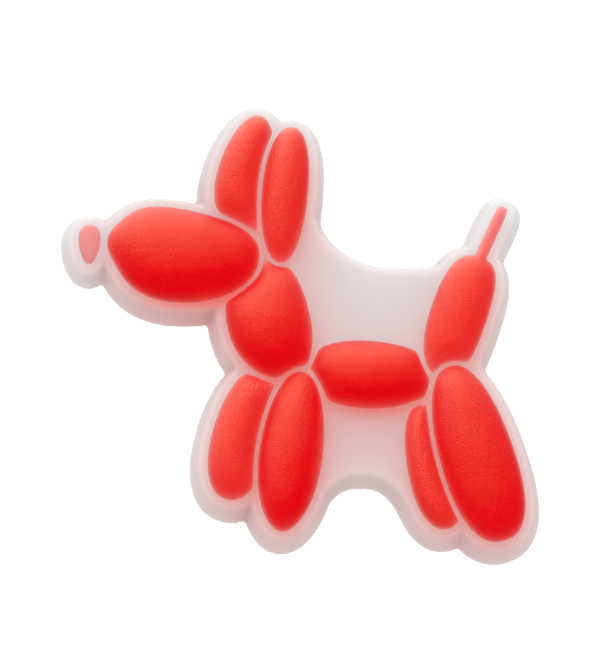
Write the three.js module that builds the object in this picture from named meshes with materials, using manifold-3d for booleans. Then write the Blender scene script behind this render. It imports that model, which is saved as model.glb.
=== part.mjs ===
// A soft PVC charm for foam clogs: the common twisted-balloon dog in raised red balloons, moulded on a
// milky translucent base that follows the dog with a narrow rim, with a mushroom-shaped stud behind.
//
// Millimetres. The charm lies face up on its stud. +X runs towards the tail, +Y towards the ears and +Z
// out of the face. The origin is the centre of the stud's underside.

import * as THREE from "three";
import { mergeVertices } from "three/addons/utils/BufferGeometryUtils.js";
import Module from "manifold-3d";

const wasm = await Module();
wasm.setup();

// Figure: the balloons keep their pose and proportions as hundredths of the figure's length
const FIGURE_LENGTH = 33.5; // from the nose to the near hind heel, over the red balloons
const RELIEF = 2.0; // height of the highest balloon over the base's front
const FULLNESS = 2.5; // how round the balloons are in section: higher is flatter on top, steeper at the side
const GROOVE = 0.3; // gap that keeps a balloon clear of the one in front of it

// Base
const BASE_THICKNESS = 3.0;
const RIM = 0.65; // flat margin round a balloon
const NOSE_RIM = 0.72;
const WALL_DRAFT = 0.6; // how far the side wall leans out between front and back
const EDGE_RADIUS = 0.3; // rounded front edge

// Stud, which a clog's hole and upper decide
const CLOG_HOLE_DIAMETER = 8.0;
const CLOG_THICKNESS = 4.2;
const HOLE_CLEARANCE = 0.3; // round the neck
const GRIP_CLEARANCE = 0.4; // along the neck
const DISC_OVERHANG = 2.4; // how far the disc reaches past the hole
const DISC_THICKNESS = 1.6;
const DISC_EDGE_RADIUS = 0.5;
const NECK_FILLET = 0.4;

const NECK_RADIUS = CLOG_HOLE_DIAMETER / 2 - HOLE_CLEARANCE;
const DISC_RADIUS = CLOG_HOLE_DIAMETER / 2 + DISC_OVERHANG;
const STUD_HEIGHT = DISC_THICKNESS + CLOG_THICKNESS + GRIP_CLEARANCE;

// Fineness of the meshes
const BALLOON_SIDES = 38;
const OUTLINE_FINENESS = 5; // points looked at for each side that is kept
const BALLOON_LEVELS = [1, 0.97, 0.87, 0.69, 0.4]; // shares of the way out from the crown
const RIM_SIDES = 52;
const WEB_STEPS = 14;
const EDGE_STEPS = 3;
const STUD_SIDES = 32;
const FILLET_STEPS = 1; // two straight steps to each quarter round of the stud

// The balloons, nose to tail. at, long, wide, bow and point are hundredths of the figure's length, with
// at counted from the middle of the stud. turn is in degrees, taper widens the end that turn points to,
// bow bends the middle sideways, point draws one end out, and blunt is each end's superellipse exponent.
// rise is a share of RELIEF. behind names the balloons in front, which cut this one.
const BALLOONS = {
  nose: { at: [-51.6, 22.5], long: 9.0, wide: 4.8, turn: 89, taper: 0.26, blunt: [2.2, 2.2], rise: 0.2 },
  head: {
    at: [-29.7, 21.3], long: 32.7, wide: 21.2, turn: -6.5, taper: -0.15, bow: -1.5, point: -1.8,
    blunt: [2.3, 2.3], rise: 1,
  },
  near_ear: {
    at: [-7.6, 34.3], long: 31.4, wide: 10.5, turn: 85, taper: 0.05, bow: 0.3, blunt: [2.2, 2.2], rise: 0.75,
  },
  far_ear: {
    at: [-15.5, 39.1], long: 27.1, wide: 13.7, turn: 82.5, taper: -0.26, bow: 0.7, blunt: [2.2, 2.2],
    rise: 0.65, behind: ["near_ear", "head"],
  },
  neck: {
    at: [-10.4, 6.4], long: 28.6, wide: 18.9, turn: -77.5, taper: 0.04, bow: -1.3, blunt: [2.1, 2.1],
    rise: 0.95, behind: ["head", "near_ear", "near_foreleg"],
  },
  body: {
    at: [11.3, -6.4], long: 32.2, wide: 15.5, turn: -2.5, taper: -0.08, bow: -0.3, blunt: [2.1, 1.95],
    rise: 0.9, behind: ["neck", "near_foreleg", "tail", "near_hind_leg", "far_hind_leg"],
  },
  far_foreleg: {
    at: [-16.8, -20.4], long: 30.7, wide: 14.0, turn: 74.5, taper: -0.04, bow: 0.1, blunt: [2.2, 2.2],
    rise: 0.65, behind: ["near_foreleg", "neck"],
  },
  near_foreleg: {
    at: [-6.4, -24.2], long: 36.6, wide: 14.3, turn: 82.5, taper: -0.08, blunt: [2.15, 1.9], rise: 0.95,
  },
  far_hind_leg: {
    at: [25.2, -27.5], long: 28.7, wide: 12.5, turn: -77.5, taper: 0.11, bow: 0.4, blunt: [2.1, 2.2],
    rise: 0.65, behind: ["near_hind_leg"],
  },
  near_hind_leg: {
    at: [35.0, -24.3], long: 41.4, wide: 16.7, turn: -73, taper: 0.09, bow: -0.2, blunt: [2.35, 2.3],
    rise: 0.95,
  },
  tail: {
    at: [31.25, 6.6], long: 29.1, wide: 12.9, turn: 71.5, taper: -0.01, bow: 0.4, blunt: [2.9, 2.25],
    rise: 0.65, behind: ["near_hind_leg"],
  },
};

// The knotted end of the last balloon, which runs out of the tail as a thin string
const STRING = { at: [38.25, 25.2], long: 14.9, wide: 2.75, turn: 65.5, blunt: [5.0, 5.0], rise: 0.22 };
const POINT_SPREAD = 0.3; // half-angle over which a drawn-out end narrows, in radians
const CORNER_SHARPNESS = 18; // of the soft corners where a balloon is cut: higher is sharper

// The webs that close the base between the balloons, in the same hundredths. Each has one shown edge, of
// cubic curves that start at from and pass through the other stops, and the rest lies under the rims.
const WEBS = {
  saddle: {
    from: [-1.2, 31.0],
    stops: [
      { pull: [[-2.0, 26.0], [6.0, 16.7]], to: [19.4, 17.7] },
      { pull: [[24.0, 17.8], [28.0, 18.4]], to: [32.8, 18.8] },
    ],
    under: [[36.0, 19.2], [36.0, -6.0], [-8.0, -6.0], [-8.0, 37.0], [-1.6, 37.0]],
  },
  belly: {
    from: [21.8, -40.0],
    stops: [
      { pull: [[18.6, -35.5], [17.4, -29.1]], to: [9.3, -29.3] },
      { pull: [[3.3, -29.0], [0.7, -33.4]], to: [-2.1, -38.8] },
    ],
    under: [[-4.5, -40.5], [-8.0, -36.0], [-6.6, -6.0], [24.8, -6.0], [27.0, -36.0], [24.5, -41.5]],
  },
  tail_root: {
    from: [42.7, 28.8],
    stops: [{ pull: [[41.2, 24.9], [39.3, 21.0]], to: [40.2, 15.5] }],
    under: [[37.5, 12.0], [33.0, 14.0], [36.5, 24.0], [41.2, 31.0]],
  },
};

const RED = { color: 0xe80d14, roughness: 0.35, metalness: 0 };
const PALE_RED = { color: 0xf08a8a, roughness: 0.4, metalness: 0 };
const MILKY = { color: 0xe9dedf, roughness: 0.45, metalness: 0 };

const share = (hundredths) => (hundredths * FIGURE_LENGTH) / 100;
const signedPower = (value, exponent) => Math.sign(value) * Math.abs(value) ** exponent;

// The same anticlockwise outline with each of its edges moved out by a distance
function offset(outline, distance) {
  const normals = outline.map((point, i) => {
    const along = outline[(i + 1) % outline.length].clone().sub(point).normalize();
    return new THREE.Vector2(along.y, -along.x);
  });
  return outline.map((point, i) => {
    const before = normals[(i + outline.length - 1) % outline.length];
    const mitre = before.clone().add(normals[i]).divideScalar(1 + before.dot(normals[i]));
    return point.clone().addScaledVector(mitre, distance);
  });
}

// The whole outline of a balloon, anticlockwise, as if nothing stood in front of it
function wholeOutline(balloon, sides) {
  const { at, long, wide, turn, taper = 0, bow = 0, point = 0, blunt } = balloon;
  const pointsTo = point < 0 ? Math.PI : 0;
  const outline = [];
  for (let i = 0; i < sides; i++) {
    const angle = (2 * Math.PI * i) / sides;
    const exponent = 2 / (Math.cos(angle) >= 0 ? blunt[0] : blunt[1]);
    const along = signedPower(Math.cos(angle), exponent);
    const across = signedPower(Math.sin(angle), exponent);
    const fromPoint = Math.atan2(Math.sin(angle - pointsTo), Math.cos(angle - pointsTo));
    const drawnOut = point * Math.exp(-((fromPoint / POINT_SPREAD) ** 2));
    const x = (long / 2) * along + drawnOut;
    const y = (wide / 2) * across * (1 + taper * along) + bow * (1 - along ** 2);
    const place = new THREE.Vector2(x, y).rotateAround(new THREE.Vector2(), THREE.MathUtils.degToRad(turn));
    outline.push(new THREE.Vector2(share(place.x + at[0]), share(place.y + at[1])));
  }
  return outline;
}

// How far a ray runs from a point before it first meets an outline
function reach(from, direction, outline) {
  let nearest = Infinity;
  outline.forEach((start, i) => {
    const edge = outline[(i + 1) % outline.length].clone().sub(start);
    const gap = start.clone().sub(from);
    const turn = direction.cross(edge);
    if (turn === 0) return;
    const along = gap.cross(edge) / turn;
    const part = gap.cross(direction) / turn;
    if (along > 0 && part >= 0 && part <= 1) nearest = Math.min(nearest, along);
  });
  return nearest;
}

function contains(outline, point) {
  const crossings = outline.filter((a, i) => {
    const b = outline[(i + 1) % outline.length];
    return a.y > point.y !== b.y > point.y && point.x < a.x + ((b.x - a.x) * (point.y - a.y)) / (b.y - a.y);
  });
  return crossings.length % 2 === 1;
}

function centroid(outline) {
  let area = 0;
  const sum = new THREE.Vector2();
  outline.forEach((a, i) => {
    const b = outline[(i + 1) % outline.length];
    const piece = a.cross(b);
    area += piece;
    sum.addScaledVector(a.clone().add(b), piece / 3);
  });
  return sum.divideScalar(area);
}

// The same outline with another number of points, which stand closer together where it turns
function resampled(outline, sides) {
  const before = (i) => (i + outline.length - 1) % outline.length;
  const steps = outline.map((point, i) => outline[(i + 1) % outline.length].clone().sub(point));
  const perimeter = steps.reduce((sum, step) => sum + step.length(), 0);
  const turns = steps.map((step, i) => step.angleTo(steps[before(i)]) / (2 * Math.PI));
  const weights = steps.map((step, i) => step.length() / perimeter + turns[i]);
  const spacing = weights.reduce((sum, weight) => sum + weight) / sides;
  const points = [];
  let passed = 0;
  weights.forEach((weight, i) => {
    while (points.length < sides && points.length * spacing < passed + weight) {
      const part = (points.length * spacing - passed) / weight;
      points.push(outline[i].clone().addScaledVector(steps[i], part));
    }
    passed += weight;
  });
  return points;
}

// The part of a balloon that is left once the balloons in front have cut it, with soft corners, and a
// middle from which all of its edge can be reached
function shownOutline(balloon, sides) {
  const fine = OUTLINE_FINENESS * sides;
  const own = wholeOutline(balloon, fine);
  const cutters = (balloon.behind ?? []).map((name) => offset(wholeOutline(BALLOONS[name], fine), GROOVE));
  const free = own.filter((point) => !cutters.some((cutter) => contains(cutter, point)));
  const start = free.reduce((sum, point) => sum.add(point), new THREE.Vector2()).divideScalar(free.length);
  const lookFrom = (middle) => {
    const outline = [];
    for (let i = 0; i < fine; i++) {
      const angle = (2 * Math.PI * i) / fine;
      const direction = new THREE.Vector2(Math.cos(angle), Math.sin(angle));
      const reaches = [own, ...cutters].map((edge) => reach(middle, direction, edge));
      const closeness = reaches.reduce((sum, length) => sum + length ** -CORNER_SHARPNESS, 0);
      outline.push(middle.clone().addScaledVector(direction, closeness ** (-1 / CORNER_SHARPNESS)));
    }
    return outline;
  };
  const middle = centroid(lookFrom(start));
  return { outline: resampled(lookFrom(middle), sides), middle };
}

// A closed mesh through outlines of equal count at rising heights. A level with one point closes to it.
function loft(levels) {
  const positions = [];
  const index = [];
  const starts = levels.map(({ outline, z }) => {
    const start = positions.length / 3;
    outline.forEach((point) => positions.push(point.x, point.y, z));
    return start;
  });
  for (let level = 0; level + 1 < levels.length; level++) {
    const count = levels[level].outline.length;
    const low = starts[level];
    const high = starts[level + 1];
    const closes = levels[level + 1].outline.length === 1;
    for (let i = 0; i < count; i++) {
      const next = (i + 1) % count;
      if (closes) {
        index.push(low + i, low + next, high);
      } else {
        index.push(low + i, low + next, high + next, low + i, high + next, high + i);
      }
    }
  }
  const first = levels[0];
  const last = levels[levels.length - 1];
  THREE.ShapeUtils.triangulateShape(first.outline, []).forEach(([a, b, c]) => index.push(c, b, a));
  if (last.outline.length > 1) {
    const start = starts[levels.length - 1];
    const cap = THREE.ShapeUtils.triangulateShape(last.outline, []);
    cap.forEach(([a, b, c]) => index.push(start + a, start + b, start + c));
  }
  const geometry = new THREE.BufferGeometry();
  geometry.setAttribute("position", new THREE.Float32BufferAttribute(positions, 3));
  geometry.setIndex(index);
  return geometry;
}

function solidOf(geometry) {
  geometry.deleteAttribute("normal");
  geometry.deleteAttribute("uv");
  const merged = mergeVertices(geometry);
  return new wasm.Manifold(
    new wasm.Mesh({
      numProp: 3,
      vertProperties: merged.attributes.position.array,
      triVerts: new Uint32Array(merged.index.array),
    }),
  );
}

function geometryOf(solid) {
  const mesh = solid.getMesh();
  const geometry = new THREE.BufferGeometry();
  geometry.setAttribute("position", new THREE.BufferAttribute(mesh.vertProperties, 3));
  geometry.setIndex(new THREE.BufferAttribute(mesh.triVerts, 1));
  geometry.computeVertexNormals();
  return geometry;
}

function joined(geometries) {
  return geometryOf(geometries.map(solidOf).reduce((sum, solid) => sum.add(solid)));
}

// An inflated form on a flat underside at height 0: rings shrink evenly to the crown
function dome(outline, middle, rise) {
  const levels = BALLOON_LEVELS.map((level) => ({
    outline: outline.map((point) => middle.clone().lerp(point, level)),
    z: rise * Math.sqrt(1 - level ** FULLNESS),
  }));
  return loft([...levels, { outline: [middle.clone()], z: rise }]);
}

function balloonGeometry(balloon) {
  const { outline, middle } = shownOutline(balloon, BALLOON_SIDES);
  return dome(outline, middle, balloon.rise * RELIEF);
}

// The string ends in the tail under the tail's skin, so that both are one moulding
function tailGeometry() {
  return joined([balloonGeometry(BALLOONS.tail), balloonGeometry(STRING)]);
}

// A slab of the base from its back at height 0 to its front, with a leaning wall and a rounded front edge
function slab(outline) {
  const levels = [{ outline: offset(outline, WALL_DRAFT), z: 0 }];
  for (let step = 0; step < EDGE_STEPS; step++) {
    const angle = ((Math.PI / 2) * step) / (EDGE_STEPS - 1);
    levels.push({
      outline: offset(outline, -EDGE_RADIUS * (1 - Math.cos(angle))),
      z: BASE_THICKNESS - EDGE_RADIUS * (1 - Math.sin(angle)),
    });
  }
  return loft(levels);
}

function webOutline({ from, stops, under }) {
  const shape = new THREE.Path();
  shape.moveTo(...from.map(share));
  stops.forEach(({ pull, to }) => shape.bezierCurveTo(...[...pull, to].flat().map(share)));
  under.forEach((corner) => shape.lineTo(...corner.map(share)));
  const outline = shape.getPoints(WEB_STEPS);
  return THREE.ShapeUtils.isClockWise(outline) ? outline.reverse() : outline;
}

// The mushroom stud: a disc that grips the clog's inside, on a neck that fills the hole
function studGeometry() {
  const quarter = Math.PI / 2;
  const seat = DISC_THICKNESS - STUD_HEIGHT;
  const foot = DISC_RADIUS - DISC_EDGE_RADIUS;
  const root = NECK_RADIUS + NECK_FILLET;
  const path = new THREE.Path();
  path.moveTo(0, -STUD_HEIGHT);
  path.lineTo(foot, -STUD_HEIGHT);
  path.absarc(foot, DISC_EDGE_RADIUS - STUD_HEIGHT, DISC_EDGE_RADIUS, -quarter, 0, false);
  path.absarc(foot, seat - DISC_EDGE_RADIUS, DISC_EDGE_RADIUS, 0, quarter, false);
  path.absarc(root, seat + NECK_FILLET, NECK_FILLET, -quarter, -2 * quarter, true);
  path.absarc(root, -NECK_FILLET, NECK_FILLET, 2 * quarter, quarter, true);
  path.lineTo(root, BASE_THICKNESS / 2);
  path.lineTo(0, BASE_THICKNESS / 2);
  const geometry = new THREE.LatheGeometry(path.getPoints(FILLET_STEPS), STUD_SIDES);
  return geometry.rotateX(quarter);
}

function baseGeometry() {
  const rims = Object.entries(BALLOONS).map(([name, balloon]) => {
    const rim = name === "nose" ? NOSE_RIM : RIM;
    return slab(offset(wholeOutline(balloon, RIM_SIDES), rim));
  });
  const stringRim = slab(offset(wholeOutline(STRING, RIM_SIDES), RIM));
  const webs = Object.values(WEBS).map((web) => slab(webOutline(web)));
  return joined([...rims, stringRim, ...webs, studGeometry()]);
}

function piece(name, geometry, finish, z) {
  geometry.computeVertexNormals();
  const mesh = new THREE.Mesh(geometry, new THREE.MeshStandardMaterial(finish));
  mesh.name = name;
  mesh.position.z = z;
  return mesh;
}

// Heights inside the charm's own group count from the back of the base, where it seats on the clog
const charm = new THREE.Group();
charm.position.z = STUD_HEIGHT;
charm.add(piece("base", baseGeometry(), MILKY, 0));
Object.entries(BALLOONS).forEach(([name, balloon]) => {
  const geometry = name === "tail" ? tailGeometry() : balloonGeometry(balloon);
  charm.add(piece(name, geometry, name === "nose" ? PALE_RED : RED, BASE_THICKNESS));
});

const group = new THREE.Group();
group.add(charm);

export default group;
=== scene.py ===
"""Looks of a soft PVC charm for foam clogs: a twisted-balloon dog in raised red balloons on a milky base.

Everything is in metres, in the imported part's own frame: the charm lies face up on its stud, +X runs towards
the tail and +Y towards the ears.
"""

import math

import bmesh
import bpy
import numpy as np
from mathutils import Matrix, Vector
from mathutils.bvhtree import BVHTree


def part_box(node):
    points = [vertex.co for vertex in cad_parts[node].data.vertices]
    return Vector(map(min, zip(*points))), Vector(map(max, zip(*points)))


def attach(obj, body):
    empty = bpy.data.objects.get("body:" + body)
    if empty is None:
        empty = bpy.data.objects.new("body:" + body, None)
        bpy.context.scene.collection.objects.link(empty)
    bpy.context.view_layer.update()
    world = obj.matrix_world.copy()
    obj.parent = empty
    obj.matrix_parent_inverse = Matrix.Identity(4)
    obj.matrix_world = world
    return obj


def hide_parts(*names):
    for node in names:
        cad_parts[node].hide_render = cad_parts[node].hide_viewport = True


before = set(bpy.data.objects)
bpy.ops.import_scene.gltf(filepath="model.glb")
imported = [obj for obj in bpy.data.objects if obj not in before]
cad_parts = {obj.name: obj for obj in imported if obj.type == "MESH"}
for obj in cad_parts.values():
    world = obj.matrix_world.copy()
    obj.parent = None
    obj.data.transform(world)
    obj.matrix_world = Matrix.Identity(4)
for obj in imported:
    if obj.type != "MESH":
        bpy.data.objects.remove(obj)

bl_info = {
    "name": "Balloon Dog Shoe Charm",
    "version": (1, 0, 0),
    "blender": (4, 5, 0),
    "location": "3D View > Sidebar > Charm",
    "description": "Builds the red balloons, the milky base and the studio of a moulded shoe charm",
    "category": "Add Mesh",
}

MM = 0.001
HAIR = 0.001 * MM  # smaller than any real distance on the charm

BALLOONS = [
    "nose", "head", "near_ear", "far_ear", "neck", "body", "far_foreleg", "near_foreleg", "far_hind_leg",
    "near_hind_leg", "tail",
]
PALER_BALLOONS = ["near_ear", "far_ear", "far_foreleg", "far_hind_leg", "tail"]
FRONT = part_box("head")[0].z  # height of the base's front, on which the balloons sit
BASE_THICKNESS = 3 * MM


def screen(red, green, blue):
    """The linear colour of an 8-bit screen colour, by the usual curve of screens."""
    shares = [value / 255 for value in (red, green, blue)]
    return tuple(s / 12.92 if s <= 0.04045 else ((s + 0.055) / 1.055) ** 2.4 for s in shares)


# Settings that a user would change


class CharmSizes(bpy.types.PropertyGroup):
    """Sizes of the moulding's finer shapes."""

    fullness: bpy.props.FloatProperty(
        name="Fullness", description="How flat the balloons are on top, from 2 for an ellipsoid",
        default=2.15, min=2, max=6,
    )
    sink: bpy.props.FloatProperty(
        name="Sink", description="How far the red PVC reaches into the base",
        default=0.05 * MM, unit="LENGTH",
    )
    base_grain: bpy.props.FloatProperty(
        name="Base Mesh Size", description="Edge length of the base's fine mesh",
        default=0.165 * MM, unit="LENGTH",
    )
    edge_softness: bpy.props.IntProperty(
        name="Edge Softness", description="Rounds of smoothing on the base's front edge and notches",
        default=16, min=0,
    )
    dye_depth: bpy.props.FloatProperty(
        name="Dye Depth", description="Thickness at which red PVC hides most of the milky base",
        default=0.36 * MM, unit="LENGTH",
    )
    nose_dye_depth: bpy.props.FloatProperty(
        name="Nose Dye Depth", description="The same for the nose, which is a thin even film",
        default=0.12 * MM, unit="LENGTH",
    )
    grain: bpy.props.FloatProperty(
        name="Grain", description="Size of the fine grain that the mould leaves",
        default=0.1 * MM, unit="LENGTH",
    )


class CharmColours(bpy.types.PropertyGroup):
    """Colours of the two PVCs, of the light and shade painted into the milky one, and of the floor."""

    red: bpy.props.FloatVectorProperty(
        name="Red", description="Red PVC where it is thick", subtype="COLOR",
        default=(0.83, 0.0003, 0.006), min=0, max=1,
    )
    paler_red: bpy.props.FloatVectorProperty(
        name="Paler Red", description="Red PVC of the lower balloons: ears, far legs and tail",
        subtype="COLOR", default=(0.86, 0.02, 0.018), min=0, max=1,
    )
    nose: bpy.props.FloatVectorProperty(
        name="Nose", description="Thin red PVC of the nose", subtype="COLOR",
        default=(0.82, 0.255, 0.255), min=0, max=1,
    )
    milky: bpy.props.FloatVectorProperty(
        name="Milky", description="Milky PVC away from the red", subtype="COLOR",
        default=(0.715, 0.71, 0.72), min=0, max=1,
    )
    # Painted light: the red-tinted light and shade that the balloons throw on the milky base, painted into its
    # colour
    painted_glow: bpy.props.FloatVectorProperty(
        name="Glow", description="Milky PVC full of light that has come through the red", subtype="COLOR",
        default=(0.67, 0.045, 0.0), min=0, max=1,
    )
    # Painted light: the same painted glow, brighter, in the grooves between the balloons
    painted_groove_glow: bpy.props.FloatVectorProperty(
        name="Gleam", description="The same in the grooves between the balloons", subtype="COLOR",
        default=(0.8, 0.03, 0.0), min=0, max=1,
    )
    floor: bpy.props.FloatVectorProperty(
        name="Floor", description="Pale floor", subtype="COLOR",
        default=screen(250, 250, 250), min=0, max=1,
    )


class CharmStudio(bpy.types.PropertyGroup):
    """The studio's light and camera."""

    tent_light: bpy.props.FloatProperty(
        name="Tent Light", description="Even light from all round", default=1.04,
    )
    tent_below: bpy.props.FloatProperty(
        name="Tent Below", description="The same from below, as a share of it", default=0.72,
    )
    tent_lean: bpy.props.FloatProperty(
        name="Tent Lean", description="How much brighter the tent is on the ears' side than overhead",
        default=0.08,
    )
    floor_glow: bpy.props.FloatProperty(
        name="Floor Glow", description="Light that comes up through the floor", default=0.6,
    )
    softbox_light: bpy.props.FloatProperty(
        name="Softbox Light", description="Brightness of the softbox, as it lights the charm", default=0.32,
    )
    softbox_distance: bpy.props.FloatProperty(
        name="Softbox Distance", description="From the charm to the softbox", default=250 * MM, unit="LENGTH",
    )
    softbox_bearing: bpy.props.FloatProperty(
        name="Softbox Bearing", description="Turn of the softbox from the ears' side to the nose's side",
        default=math.radians(15), unit="ROTATION",
    )
    shine: bpy.props.FloatProperty(
        name="Shine", description="Brightness of the softbox's middle, as shiny PVC mirrors it", default=4.5,
    )
    shine_start: bpy.props.FloatProperty(
        name="Shine Start", description="Angle from straight above the charm at which the softbox begins",
        default=math.radians(13), unit="ROTATION",
    )
    camera_distance: bpy.props.FloatProperty(
        name="Camera Distance", description="From the lens to the charm", default=450 * MM, unit="LENGTH",
    )
    camera_side: bpy.props.FloatProperty(
        name="Camera Side", description="How far the camera stands to the nose's side",
        default=math.radians(2.5), unit="ROTATION",
    )
    camera_tilt: bpy.props.FloatProperty(
        name="Camera Tilt", description="How far the camera stands to the feet's side",
        default=math.radians(11.5), unit="ROTATION",
    )


# Work on meshes


def hold(piece):
    """Makes one object the only one selected, and the active one."""
    bpy.ops.object.select_all(action="DESELECT")
    piece.select_set(True)
    bpy.context.view_layer.objects.active = piece


def copy_of(node, name):
    """A new piece with a CAD node's mesh, its loose triangles merged."""
    piece = bpy.data.objects.new(name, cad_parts[node].data.copy())
    bpy.context.scene.collection.objects.link(piece)
    piece.data.materials.clear()
    hold(piece)
    bpy.ops.object.mode_set(mode="EDIT")
    bpy.ops.mesh.select_all(action="SELECT")
    bpy.ops.mesh.remove_doubles(threshold=HAIR)
    bpy.ops.mesh.customdata_custom_splitnormals_clear()
    bpy.ops.object.mode_set(mode="OBJECT")
    return piece


def modify(piece, kind, **settings):
    """Adds a modifier and applies it."""
    hold(piece)
    modifier = piece.modifiers.new(kind.title(), kind)
    for setting, value in settings.items():
        setattr(modifier, setting, value)
    bpy.ops.object.modifier_apply(modifier=modifier.name)


def subdivide(piece):
    """One round of smooth subdivision."""
    modify(piece, "SUBSURF", levels=1, render_levels=1, boundary_smooth="ALL")


def corners(piece):
    """The places of a piece's vertices."""
    places = np.empty(3 * len(piece.data.vertices), np.float32)
    piece.data.vertices.foreach_get("co", places)
    return places.reshape(-1, 3).astype(float)


def move_corners(piece, places):
    """Puts a piece's vertices at new places."""
    piece.data.vertices.foreach_set("co", places.astype(np.float32).ravel())
    piece.data.update()


def keep(piece, name, values):
    """Keeps one number for each vertex on a piece's mesh."""
    layer = piece.data.attributes.new(name, "FLOAT", "POINT")
    layer.data.foreach_set("value", values.astype(np.float32))


def weigh(piece, name, weights):
    """Weights a piece's vertices in a group, for a modifier that works on some of them."""
    group = piece.vertex_groups.new(name=name)
    for number, weight in enumerate(weights):
        group.add([number], weight, "REPLACE")


def finish_piece(piece, material, node):
    """Gives a piece its material and its place in the part. Only the base takes part in shadows and in the
    diffuse light of other pieces, because the real balloons let red light through."""
    piece.data.materials.append(material)
    # The balloons cast no shade; their red-tinted shade on the base is painted into its colour as the painted
    # glow
    piece.visible_shadow = piece.visible_diffuse = node == "base"
    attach(piece, "root")
    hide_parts(node)


# Balloons

ROUND = 100 * MM  # evenness wide enough to leave the balloons round
# Evenness and height of the skins that make up the balloons that aren't simply round: the nose is a flat film,
# and a flat film makes the tail's string
SKINS = {"nose": [(0.2 * MM, 0.4 * MM)], "tail": [(2 * MM, 1.3 * MM), (0.15 * MM, 0.16 * MM)]}
FACES_DOWN = -0.9  # upward part of the normal, below which a face belongs to a balloon's flat underside
SKIN_MERGE = 0.02 * MM  # corners of the flattened skin that are closer become one
SKIN_SLIVER = 0.005 * MM  # shorter edges of the flattened skin are dissolved
SHARP_EDGE = math.radians(50)


def open_shell(piece):
    """Takes off a balloon's flat underside and lays the skin flat on the base."""
    hold(piece)
    bpy.ops.object.mode_set(mode="EDIT")
    bpy.ops.mesh.select_mode(type="FACE")
    bpy.ops.mesh.select_all(action="DESELECT")
    skin = bmesh.from_edit_mesh(piece.data)
    for face in skin.faces:
        face.select_set(face.normal.z < FACES_DOWN)
    bmesh.update_edit_mesh(piece.data)
    bpy.ops.mesh.delete(type="FACE")
    bpy.ops.object.mode_set(mode="OBJECT")
    places = corners(piece)
    places[:, 2] = FRONT
    move_corners(piece, places)
    bpy.ops.object.mode_set(mode="EDIT")
    bpy.ops.mesh.select_all(action="SELECT")
    bpy.ops.mesh.remove_doubles(threshold=SKIN_MERGE)
    bpy.ops.mesh.select_all(action="SELECT")
    bpy.ops.mesh.dissolve_degenerate(threshold=SKIN_SLIVER)
    bpy.ops.mesh.select_all(action="SELECT")
    bpy.ops.mesh.delete_loose()
    bpy.ops.mesh.select_all(action="SELECT")
    bpy.ops.mesh.tris_convert_to_quads(face_threshold=math.pi, shape_threshold=math.pi)
    bpy.ops.object.mode_set(mode="OBJECT")


def edge_corners(piece):
    """The vertices on a skin's open edge."""
    skin = bmesh.new()
    skin.from_mesh(piece.data)
    found = [corner.index for corner in skin.verts if corner.is_boundary]
    skin.free()
    return found


def membrane(piece, evenness):
    """Heights from 0 to 1 of a flat skin that is held along its edge and blown up evenly. Parts much wider
    than evenness rise to the same height."""
    mesh = piece.data
    mesh.calc_loop_triangles()
    triangles = np.array([triangle.vertices for triangle in mesh.loop_triangles])
    flat = corners(piece)[:, :2]
    count = len(flat)
    stiffness = np.zeros((count, count))
    load = np.zeros(count)
    for turn in range(3):
        a, b, c = (triangles[:, (turn + k) % 3] for k in range(3))
        to_b = flat[b] - flat[a]
        to_c = flat[c] - flat[a]
        double_area = to_b[:, 0] * to_c[:, 1] - to_b[:, 1] * to_c[:, 0]
        third = double_area / 6  # of the triangle's area, which its corner a stands for
        pull = (to_b * to_c).sum(axis=1) / double_area / 2  # of b and c on each other
        np.add.at(stiffness, (b, c), -pull)
        np.add.at(stiffness, (c, b), -pull)
        np.add.at(stiffness, (b, b), pull)
        np.add.at(stiffness, (c, c), pull)
        np.add.at(stiffness, (a, a), third / evenness**2)
        np.add.at(load, a, third)
    free = np.ones(count, bool)
    free[edge_corners(piece)] = False
    heights = np.zeros(count)
    heights[free] = np.linalg.solve(stiffness[np.ix_(free, free)], load[free])
    return heights / heights.max()


def close_shell(piece, sink):
    """Runs a skin's edge down into the base and closes it there."""
    hold(piece)
    bpy.ops.object.mode_set(mode="EDIT")
    bpy.ops.mesh.select_mode(type="EDGE")
    bpy.ops.mesh.select_all(action="DESELECT")
    bpy.ops.mesh.select_non_manifold()
    bpy.ops.mesh.extrude_edges_move(TRANSFORM_OT_translate={"value": (0, 0, -sink)})
    bpy.ops.mesh.edge_face_add()
    bpy.ops.mesh.select_all(action="SELECT")
    bpy.ops.mesh.normals_make_consistent(inside=False)
    bpy.ops.object.mode_set(mode="OBJECT")
    bpy.ops.object.shade_smooth_by_angle(angle=SHARP_EDGE)


def blown_balloon(node, sizes):
    """A smooth balloon on a CAD node's outline, as high as the node or as its skins."""
    low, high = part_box(node)
    piece = copy_of(node, node + "_balloon")
    open_shell(piece)
    subdivide(piece)
    skins = SKINS.get(node, [(ROUND, high.z - low.z)])
    for number, (evenness, _) in enumerate(skins):
        keep(piece, f"skin_{number}", membrane(piece, evenness))
    subdivide(piece)
    places = corners(piece)
    places[:, 2] = 0
    for number, (_, rise) in enumerate(skins):
        layer = piece.data.attributes[f"skin_{number}"]
        inward = np.empty(len(places), np.float32)
        layer.data.foreach_get("value", inward)
        inward = np.clip(inward, 0, 1)
        height = rise * np.sqrt(1 - (1 - inward) ** (sizes.fullness / 2))
        places[:, 2] = np.maximum(places[:, 2], height)
        piece.data.attributes.remove(layer)
    places[:, 2] += low.z
    move_corners(piece, places)
    close_shell(piece, sizes.sink)
    return piece


# Base

SOFT_ABOVE = 1 * MM  # above the back, from which the smoothing is full
LEAST_SOFT = 0.1  # share of the smoothing at the back
BACK_EDGE = 0.2 * MM  # behind the back, up to which a corner counts as the wall's
BACK_EDGE_LOSS = 0.035 * MM  # what the fine mesh cuts off the sharp back edge


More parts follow.
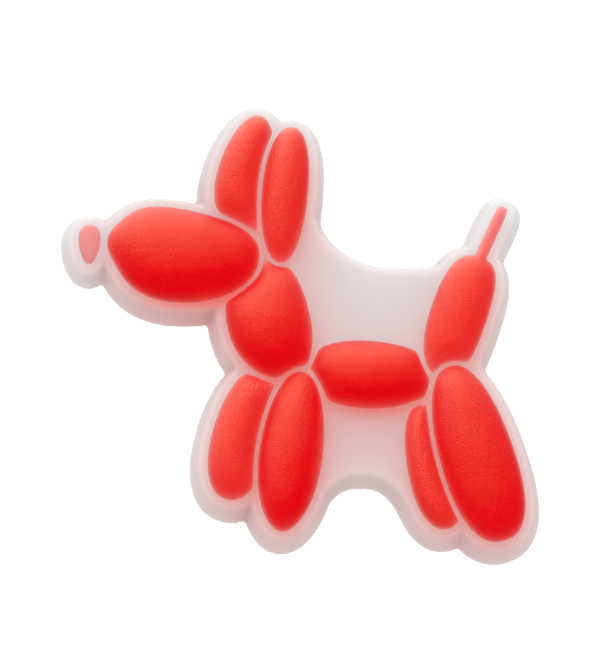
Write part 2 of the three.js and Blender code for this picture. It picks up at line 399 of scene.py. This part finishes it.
def round_base(piece, sizes):
    """Gives the base a fine mesh with a soft front edge, and gives its back edge back what that takes."""
    modify(piece, "REMESH", mode="VOXEL", voxel_size=sizes.base_grain, use_smooth_shade=True)
    depth = FRONT - corners(piece)[:, 2]
    weigh(piece, "front", np.clip((BASE_THICKNESS - depth) / SOFT_ABOVE, LEAST_SOFT, 1))
    modify(piece, "SMOOTH", factor=0.5, iterations=sizes.edge_softness, vertex_group="front")
    depth = FRONT - corners(piece)[:, 2]
    wall = np.where(depth < BASE_THICKNESS + BACK_EDGE, np.clip(depth / BASE_THICKNESS, 0, 1), 0)
    weigh(piece, "wall", wall)
    modify(piece, "DISPLACE", strength=BACK_EDGE_LOSS, mid_level=0, vertex_group="wall")
    piece.vertex_groups.clear()


# Materials


class Value:
    """A number that changes over a surface. Arithmetic on it adds Math nodes."""

    def __init__(self, socket):
        self.socket = socket

    def math(self, operation, *inputs):
        """A Math node on inputs, which are Values or numbers."""
        tree = self.socket.id_data
        node = tree.nodes.new("ShaderNodeMath")
        node.operation = operation
        for socket, value in zip(node.inputs, inputs):
            if isinstance(value, Value):
                tree.links.new(value.socket, socket)
            else:
                socket.default_value = value
        return Value(node.outputs[0])

    def __add__(self, other):
        return self.math("ADD", self, other)

    def __sub__(self, other):
        return self.math("SUBTRACT", self, other)

    def __rsub__(self, other):
        return self.math("SUBTRACT", other, self)

    def __mul__(self, other):
        return self.math("MULTIPLY", self, other)

    def __truediv__(self, other):
        return self.math("DIVIDE", self, other)

    def __pow__(self, other):
        return self.math("POWER", self, other)

    def __rpow__(self, other):
        return self.math("POWER", other, self)

    __radd__ = __add__
    __rmul__ = __mul__

    def at_least(self, other):
        return self.math("MAXIMUM", self, other)

    def at_most(self, other):
        return self.math("MINIMUM", self, other)

    def as_share(self):
        """The number, kept from 0 to 1."""
        return self.at_least(0).at_most(1)


class Nodes:
    """The shader nodes of a material or a world."""

    def __init__(self, owner):
        owner.use_nodes = True
        self.tree = owner.node_tree

    def node(self, kind, settings, sockets):
        """Any node, with its settings and the values or links of its sockets."""
        made = self.tree.nodes.new(kind)
        for name, value in settings.items():
            setattr(made, name, value)
        for name, value in sockets.items():
            self.feed(made.inputs[name], value)
        return made

    def feed(self, socket, value):
        """Links a socket, or sets its value."""
        if isinstance(value, Value):
            value = value.socket
        if isinstance(value, bpy.types.NodeSocket):
            self.tree.links.new(value, socket)
        else:
            socket.default_value = value


# Places of a Mix node's sockets for colours, which share their names with its other sockets
MIX_FIRST, MIX_SECOND, MIX_RESULT = 6, 7, 2


class Finish(Nodes):
    """A material in the making: a Principled shader with constant settings, and the nodes that feed it."""

    def __init__(self, name, **settings):
        self.material = bpy.data.materials.new(name)
        super().__init__(self.material)
        self.shader = self.tree.nodes["Principled BSDF"]
        for name, value in settings.items():
            self.shader.inputs[name.replace("_", " ")].default_value = value
        self.place = self.node("ShaderNodeTexCoord", {}, {}).outputs["Object"]

    def surface(self, name, value):
        """Feeds one of the shader's own sockets."""
        self.feed(self.shader.inputs[name], value)

    def blend(self, share, first, second):
        """A colour between two."""
        mix = self.node("ShaderNodeMix", {"data_type": "RGBA"}, {"Factor": share})
        self.feed(mix.inputs[MIX_FIRST], first)
        self.feed(mix.inputs[MIX_SECOND], second)
        return mix.outputs[MIX_RESULT]

    def kept(self, name):
        """A number that is kept on the mesh."""
        return Value(self.node("ShaderNodeAttribute", {"attribute_name": name}, {}).outputs["Fac"])

    def noise(self, size, detail):
        """Cloudy noise round 0.5, with spots of one size."""
        sockets = {"Vector": self.place, "Scale": 1 / size, "Detail": detail}
        return Value(self.node("ShaderNodeTexNoise", {}, sockets).outputs["Fac"])

    def grain(self, size, smooth, rough, depth):
        """Makes the surface smooth to rough by a fine grain, and dents it by the same grain."""
        grain = self.noise(size, GRAIN_DETAIL)
        self.surface("Roughness", smooth + (rough - smooth) * grain)
        sockets = {"Height": grain, "Distance": depth, "Strength": 1.0}
        self.surface("Normal", self.node("ShaderNodeBump", {}, sockets).outputs["Normal"])


def rgba(colour):
    """A colour with full cover, as colour sockets take it."""
    return (*colour, 1)


# Constant settings of the two PVCs' shaders
RED_PVC = {
    "Subsurface_Weight": 0.1, "Subsurface_Radius": (1.0, 0.2, 0.1), "Subsurface_Scale": 0.8 * MM,
    "Specular_Tint": (1.0, 0.85, 0.5, 1.0), "IOR": 1.52,
}
MILKY_PVC = {
    "Subsurface_Weight": 1.0, "Subsurface_Radius": (1.0, 0.95, 0.9), "Subsurface_Scale": 1.5 * MM,
    "Specular_IOR_Level": 0.06,
}
# Roughness between and on the spots of the grain, and the depth of its dents
RED_GRAIN = {"smooth": 0.06, "rough": 0.12, "depth": 0.06 * MM}
MILKY_GRAIN = {"smooth": 0.6, "rough": 0.74, "depth": 0.004 * MM}
GRAIN_DETAIL = 3.0
CLOUD_SIZE = 2.5 * MM
CLOUD_DETAIL = 2.0
CLOUD_DIMMING = 0.93  # of the red, in its slow clouds
POCKET = 0.5  # how much of the base the red hides at its very edge, as it lies in a pocket there
DYE_STEEPNESS = 1.3  # how suddenly the red hides the base as it thickens
THIN_RED = 1.0  # share of red light that comes back through thin red PVC


def painted_glow_colour(finish, milky, painted_glow, painted_groove_glow):
    """The colour of milky PVC with painted light in it: the red-tinted light and shade that the red balloons
    throw, painted into the colour.
    """
    full = finish.blend(finish.kept("painted_groove_glow"), rgba(painted_glow), rgba(painted_groove_glow))
    return finish.blend(finish.kept("painted_glow"), rgba(milky), full)


def red_pvc(name, red, dye_depth, sizes, colours):
    """Red PVC, which lets the milky base show through where it is thin, with the red-tinted light and shade
    painted into the base there.
    """
    finish = Finish(name, **RED_PVC)
    height = Value(finish.node("ShaderNodeSeparateXYZ", {}, {"Vector": finish.place}).outputs["Z"])
    thickness = (height - FRONT).at_least(0) / dye_depth
    shown_through = math.exp(-1) ** (thickness**DYE_STEEPNESS + POCKET)
    clouds = finish.noise(CLOUD_SIZE, CLOUD_DETAIL)
    dye = finish.blend(clouds, rgba(red), rgba([CLOUD_DIMMING * part for part in red]))
    # The milky colour and the two painted glow colours, as they show through thin red
    below = [(THIN_RED, *colour[1:]) for colour in (colours.milky, colours.painted_glow, colours.painted_groove_glow)]
    finish.surface("Base Color", finish.blend(shown_through, dye, painted_glow_colour(finish, *below)))
    finish.grain(sizes.grain, **RED_GRAIN)
    return finish.material


def milky_pvc(name, sizes, colours):
    """Milky PVC, with pink light and red-tinted shade painted into its colour beside and below the red
    balloons.
    """
    finish = Finish(name, **MILKY_PVC)
    finish.surface("Base Color", painted_glow_colour(finish, colours.milky, colours.painted_glow, colours.painted_groove_glow))
    finish.grain(sizes.grain, **MILKY_GRAIN)
    return finish.material


# Painted light: the red-tinted light and shade that the red balloons throw into the milky base, worked out as
# colour

GLOW_STEP = 0.1 * MM  # of the map on which it is worked out
GLOW_MARGIN = 6 * MM
# How far the painted red light spreads from where it goes in, how much of it, and how far the slanting light
# carries it
NEAR_GLOW = {"reach": 0.37 * MM, "strength": 0.4, "carried": Vector((0.11, -0.67)) * MM}
FAR_GLOW = {"reach": 1.97 * MM, "strength": 0.88, "carried": Vector((0.12, -1.68)) * MM}
# Depths at which the painted glow fades on the walls and on the stud
NEAR_GLOW_DEPTH = 2.2 * MM  # below the front, at which the near glow has sunk to a third
STUD_GLOW_DEPTH = 2 * MM  # below the back, at which the far glow has sunk to a third
# Where the red hems the light in, the painted glow is made stronger and the brighter painted groove glow is
# blended in
HEMMED_IN = 0.95  # total glow at which light can hardly leave any more
MOST_HEMMED_IN = 1.1
GROOVE_GLOW = 0.7  # glow added where the light is hemmed in, as a share
GROOVE_GLOW_STEEPNESS = 6
PAINTED_GROOVE_GLOW_STEEPNESS = 4


def red_map(sizes):
    """How red the charm is from above, 0 to 1, on an even map with its lowest corner."""
    low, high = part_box("base")
    start = np.array(low[:2]) - GLOW_MARGIN
    count = np.ceil((np.array(high[:2]) + GLOW_MARGIN - start) / GLOW_STEP).astype(int)
    redness = np.zeros(count)
    for node in BALLOONS:
        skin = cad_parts[node].data
        tree = BVHTree.FromPolygons(
            [corner.co for corner in skin.vertices], [face.vertices for face in skin.polygons]
        )
        box_low, box_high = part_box(node)
        first = np.floor((np.array(box_low[:2]) - start) / GLOW_STEP).astype(int)
        last = np.ceil((np.array(box_high[:2]) - start) / GLOW_STEP).astype(int)
        for i in range(first[0], last[0] + 1):
            for j in range(first[1], last[1] + 1):
                x, y = start + GLOW_STEP * np.array([i, j])
                hit = tree.ray_cast(Vector((x, y, box_high.z + MM)), Vector((0, 0, -1)))[0]
                if hit is not None and hit.z > FRONT + HAIR:
                    redness[i, j] = 1 - math.exp((FRONT - hit.z) / sizes.dye_depth)
    return redness, start


def spread(redness, reach, strength, carried):
    """The red map blurred as light spreads in milky PVC, for the painted glow."""
    offsets = [np.fft.fftfreq(n, 1 / n) * GLOW_STEP for n in redness.shape]
    x, y = np.meshgrid(*offsets, indexing="ij")
    kernel = np.exp(-np.hypot(x - carried.x, y - carried.y) / reach)
    kernel *= strength / kernel.sum()
    return np.fft.ifft2(np.fft.fft2(redness) * np.fft.fft2(kernel)).real


def painted_glow_maps(sizes):
    """The near and the far painted glow on maps, with the maps' lowest corner."""
    redness, start = red_map(sizes)
    return spread(redness, **NEAR_GLOW), spread(redness, **FAR_GLOW), start


def read_map(values, start, places):
    """The map's values at places, between its points, and never below 0."""
    at = (places[:, :2] - start) / GLOW_STEP
    cell = np.clip(np.floor(at).astype(int), 0, np.array(values.shape) - 2)
    part = at - cell
    i, j = cell.T
    along = values[i, j] * (1 - part[:, 0]) + values[i + 1, j] * part[:, 0]
    beside = values[i, j + 1] * (1 - part[:, 0]) + values[i + 1, j + 1] * part[:, 0]
    return np.maximum(along * (1 - part[:, 1]) + beside * part[:, 1], 0)


def store_painted_glow(piece, maps):
    """Keeps at each vertex the painted red-tinted shade and glow: the share of green and blue light that the
    red has taken in the base there, and how far the red hems it in, which sets the painted groove glow."""
    near, far, start = maps
    places = corners(piece)
    below_front = np.maximum(FRONT - places[:, 2], 0)
    below_back = np.maximum(below_front - BASE_THICKNESS, 0)
    taken = read_map(near, start, places) * np.exp(-below_front / NEAR_GLOW_DEPTH)
    taken += read_map(far, start, places) * np.exp(-below_back / STUD_GLOW_DEPTH)
    hemmed_in = np.minimum(taken / HEMMED_IN, MOST_HEMMED_IN)
    taken *= 1 + GROOVE_GLOW * hemmed_in**GROOVE_GLOW_STEEPNESS
    keep(piece, "painted_glow", 1 - np.exp(-taken))
    keep(piece, "painted_groove_glow", np.minimum(hemmed_in**PAINTED_GROOVE_GLOW_STEEPNESS, 1))


# Light and camera

TENT_EDGE = 4  # how suddenly the tent dims below the charm
TENT_MIDDLE = 0.5  # how far from dim to bright it is at the charm's own height
# The softbox as shiny PVC mirrors it. Slopes run from straight above the charm over the softbox's middle
SHINE_START_WIDTH = math.radians(4)  # over which it begins
SHINE_END = math.radians(170)
SHINE_END_WIDTH = math.radians(80)  # over which it ends
SHINE_DIMMING = 0.55  # share lost from a quarter turn, where it is brightest, to straight above or below
SHINE_SHIFT = math.radians(4)  # towards the nose's side
SHINE_WIDTH = math.radians(22)  # to each side, straight above the charm
SHINE_WIDENING = 0.17  # with the slope
SOFTBOX_SLOPE = math.radians(50)
SOFTBOX_SIZE = 1.5  # as a share of its distance
FLOOR_SIZE = 4

PIXEL = 0.07477 * MM  # the size of one pixel at the charm's front
PICTURE_WIDTH = 600
PICTURE_HEIGHT = 671
STUD_ACROSS = 320  # pixel over the middle of the stud
STUD_DOWN = 345
SENSOR = 36  # in millimetres, like the lens


def tent(studio):
    """Even white light from all round, in which shiny surfaces see a broad softbox that fades to its sides."""
    world = bpy.data.worlds.new("tent")
    world.cycles.sampling_method = "NONE"
    nodes = Nodes(world)
    towards = nodes.node("ShaderNodeTexCoord", {}, {}).outputs["Generated"]

    def along(direction):
        """How far a ray goes in a direction, from -1 to 1."""
        sockets = {0: towards, 1: direction}
        dot = nodes.node("ShaderNodeVectorMath", {"operation": "DOT_PRODUCT"}, sockets)
        return Value(dot.outputs["Value"])

    up = along((0, 0, 1))
    turn = Matrix.Rotation(studio.softbox_bearing, 3, "Z")
    slope = up.math("ARCTAN2", along(turn @ Vector((0, 1, 0))), up)
    aside = along(turn @ Vector((1, 0, 0)))
    aside = aside.math("ARCSINE", aside) + SHINE_SHIFT
    begins = ((slope - studio.shine_start) / SHINE_START_WIDTH).as_share()
    ends = ((SHINE_END - slope) / SHINE_END_WIDTH).as_share()
    grows = 1 - slope.math("ABSOLUTE", slope - math.pi / 2) / (math.pi / 2) * SHINE_DIMMING
    spread_aside = aside / (slope * SHINE_WIDENING + SHINE_WIDTH)
    fades = math.exp(-0.5) ** (spread_aside * spread_aside)
    shine = begins * ends * grows * fades * studio.shine

    above = (up * TENT_EDGE + TENT_MIDDLE).as_share()
    lean = along((0, 1, 0)) * studio.tent_lean + 1
    even = (above * (1 - studio.tent_below) + studio.tent_below) * lean * studio.tent_light

    glossy = nodes.node("ShaderNodeLightPath", {}, {}).outputs["Is Glossy Ray"]
    mix = nodes.node("ShaderNodeMix", {}, {"Factor": glossy, "A": even, "B": shine})
    background = nodes.tree.nodes["Background"]
    nodes.feed(background.inputs["Color"], (1, 1, 1, 1))
    nodes.feed(background.inputs["Strength"], mix.outputs[0])
    return world


def hang_softbox(softbox, studio):
    """Sets the softbox's size and light, and turns it to the charm from above."""
    light = softbox.data
    light.shape = "SQUARE"
    light.size = SOFTBOX_SIZE * studio.softbox_distance
    light.energy = studio.softbox_light * math.pi * light.size**2
    lean = Matrix.Rotation(studio.softbox_bearing, 4, "Z") @ Matrix.Rotation(-SOFTBOX_SLOPE, 4, "X")
    softbox.matrix_world = lean @ Matrix.Translation((0, 0, studio.softbox_distance))
    softbox.visible_glossy = False


def aim_camera(camera, studio):
    """Stands the camera where the charm fills the picture as in the photograph."""
    side, tilt = studio.camera_side, studio.camera_tilt
    turn = Matrix.Rotation(-side, 3, "Y") @ Matrix.Rotation(tilt, 3, "X")
    right, up, back = turn.col
    across = (PICTURE_WIDTH / 2 - STUD_ACROSS) * PIXEL
    upward = (STUD_DOWN - PICTURE_HEIGHT / 2) * PIXEL
    aim = Vector((0, 0, FRONT)) + right * across + up * upward
    camera.matrix_world = Matrix.Translation(aim + back * studio.camera_distance) @ turn.to_4x4()
    camera.data.lens = SENSOR * studio.camera_distance / (PICTURE_HEIGHT * PIXEL)
    camera.data.sensor_width = SENSOR
    camera.data.clip_start = 10 * MM
    camera.data.clip_end = 10


# Operators


class CHARM_OT_balloons(bpy.types.Operator):
    """Build the red balloons and the pale nose"""

    bl_idname = "charm.balloons"
    bl_label = "Balloons"
    bl_options = {"REGISTER", "UNDO"}

    def execute(self, context):
        sizes, colours = context.scene.charm_sizes, context.scene.charm_colours
        finishes = {
            name: red_pvc(name, colour, depth, sizes, colours)
            for name, colour, depth in (
                ("red_pvc", colours.red, sizes.dye_depth),
                ("paler_red_pvc", colours.paler_red, sizes.dye_depth),
                ("nose_red_pvc", colours.nose, sizes.nose_dye_depth),
            )
        }
        maps = painted_glow_maps(sizes)
        for node in BALLOONS:
            piece = blown_balloon(node, sizes)
            store_painted_glow(piece, maps)
            if node == "nose":
                finish_piece(piece, finishes["nose_red_pvc"], node)
            else:
                finish = "paler_red_pvc" if node in PALER_BALLOONS else "red_pvc"
                finish_piece(piece, finishes[finish], node)
        return {"FINISHED"}


class CHARM_OT_base(bpy.types.Operator):
    """Build the milky base with its stud"""

    bl_idname = "charm.base"
    bl_label = "Base"
    bl_options = {"REGISTER", "UNDO"}

    def execute(self, context):
        sizes, colours = context.scene.charm_sizes, context.scene.charm_colours
        piece = copy_of("base", "base_moulding")
        round_base(piece, sizes)
        store_painted_glow(piece, painted_glow_maps(sizes))
        finish_piece(piece, milky_pvc("milky_pvc", sizes, colours), "base")
        return {"FINISHED"}


class CHARM_OT_stage(bpy.types.Operator):
    """Set the floor, the lights and the camera"""

    bl_idname = "charm.stage"
    bl_label = "Stage"
    bl_options = {"REGISTER", "UNDO"}

    def execute(self, context):
        scene = context.scene
        studio, colours = scene.charm_studio, scene.charm_colours
        bpy.ops.mesh.primitive_plane_add(size=FLOOR_SIZE, location=(0, 0, 0))
        floor = context.object
        floor.name = "floor"
        paper = Finish(
            "floor_paper", Roughness=0.9, Base_Color=rgba(colours.floor),
            Emission_Color=rgba(colours.floor), Emission_Strength=studio.floor_glow,
        )
        floor.data.materials.append(paper.material)
        floor.visible_glossy = floor.visible_diffuse = False

        scene.view_settings.view_transform = "Standard"
        scene.world = tent(studio)
        softbox = bpy.data.objects.new("softbox", bpy.data.lights.new("softbox", "AREA"))
        scene.collection.objects.link(softbox)
        hang_softbox(softbox, studio)

        camera = bpy.data.objects.new("camera", bpy.data.cameras.new("camera"))
        scene.collection.objects.link(camera)
        scene.camera = camera
        aim_camera(camera, studio)
        return {"FINISHED"}


class CHARM_PT_panel(bpy.types.Panel):
    """The charm's operators and settings"""

    bl_label = "Shoe Charm"
    bl_idname = "CHARM_PT_panel"
    bl_space_type = "VIEW_3D"
    bl_region_type = "UI"
    bl_category = "Charm"

    def draw(self, context):
        for operator in OPERATORS:
            self.layout.operator(operator.bl_idname)
        for name in GROUPS:
            settings = getattr(context.scene, name)
            box = self.layout.box()
            for setting in settings.__annotations__:
                box.prop(settings, setting)


GROUPS = {"charm_sizes": CharmSizes, "charm_colours": CharmColours, "charm_studio": CharmStudio}
OPERATORS = [CHARM_OT_balloons, CHARM_OT_base, CHARM_OT_stage]
CLASSES = [*GROUPS.values(), *OPERATORS, CHARM_PT_panel]


def register():
    for group in CLASSES:
        bpy.utils.register_class(group)
    for name, group in GROUPS.items():
        setattr(bpy.types.Scene, name, bpy.props.PointerProperty(type=group))


def unregister():
    for name in GROUPS:
        delattr(bpy.types.Scene, name)
    for group in reversed(CLASSES):
        bpy.utils.unregister_class(group)


def main():
    """Builds everything once."""
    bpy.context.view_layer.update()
    register()
    bpy.ops.charm.balloons()
    bpy.ops.charm.base()
    bpy.ops.charm.stage()


if __name__ == "__main__":
    main()
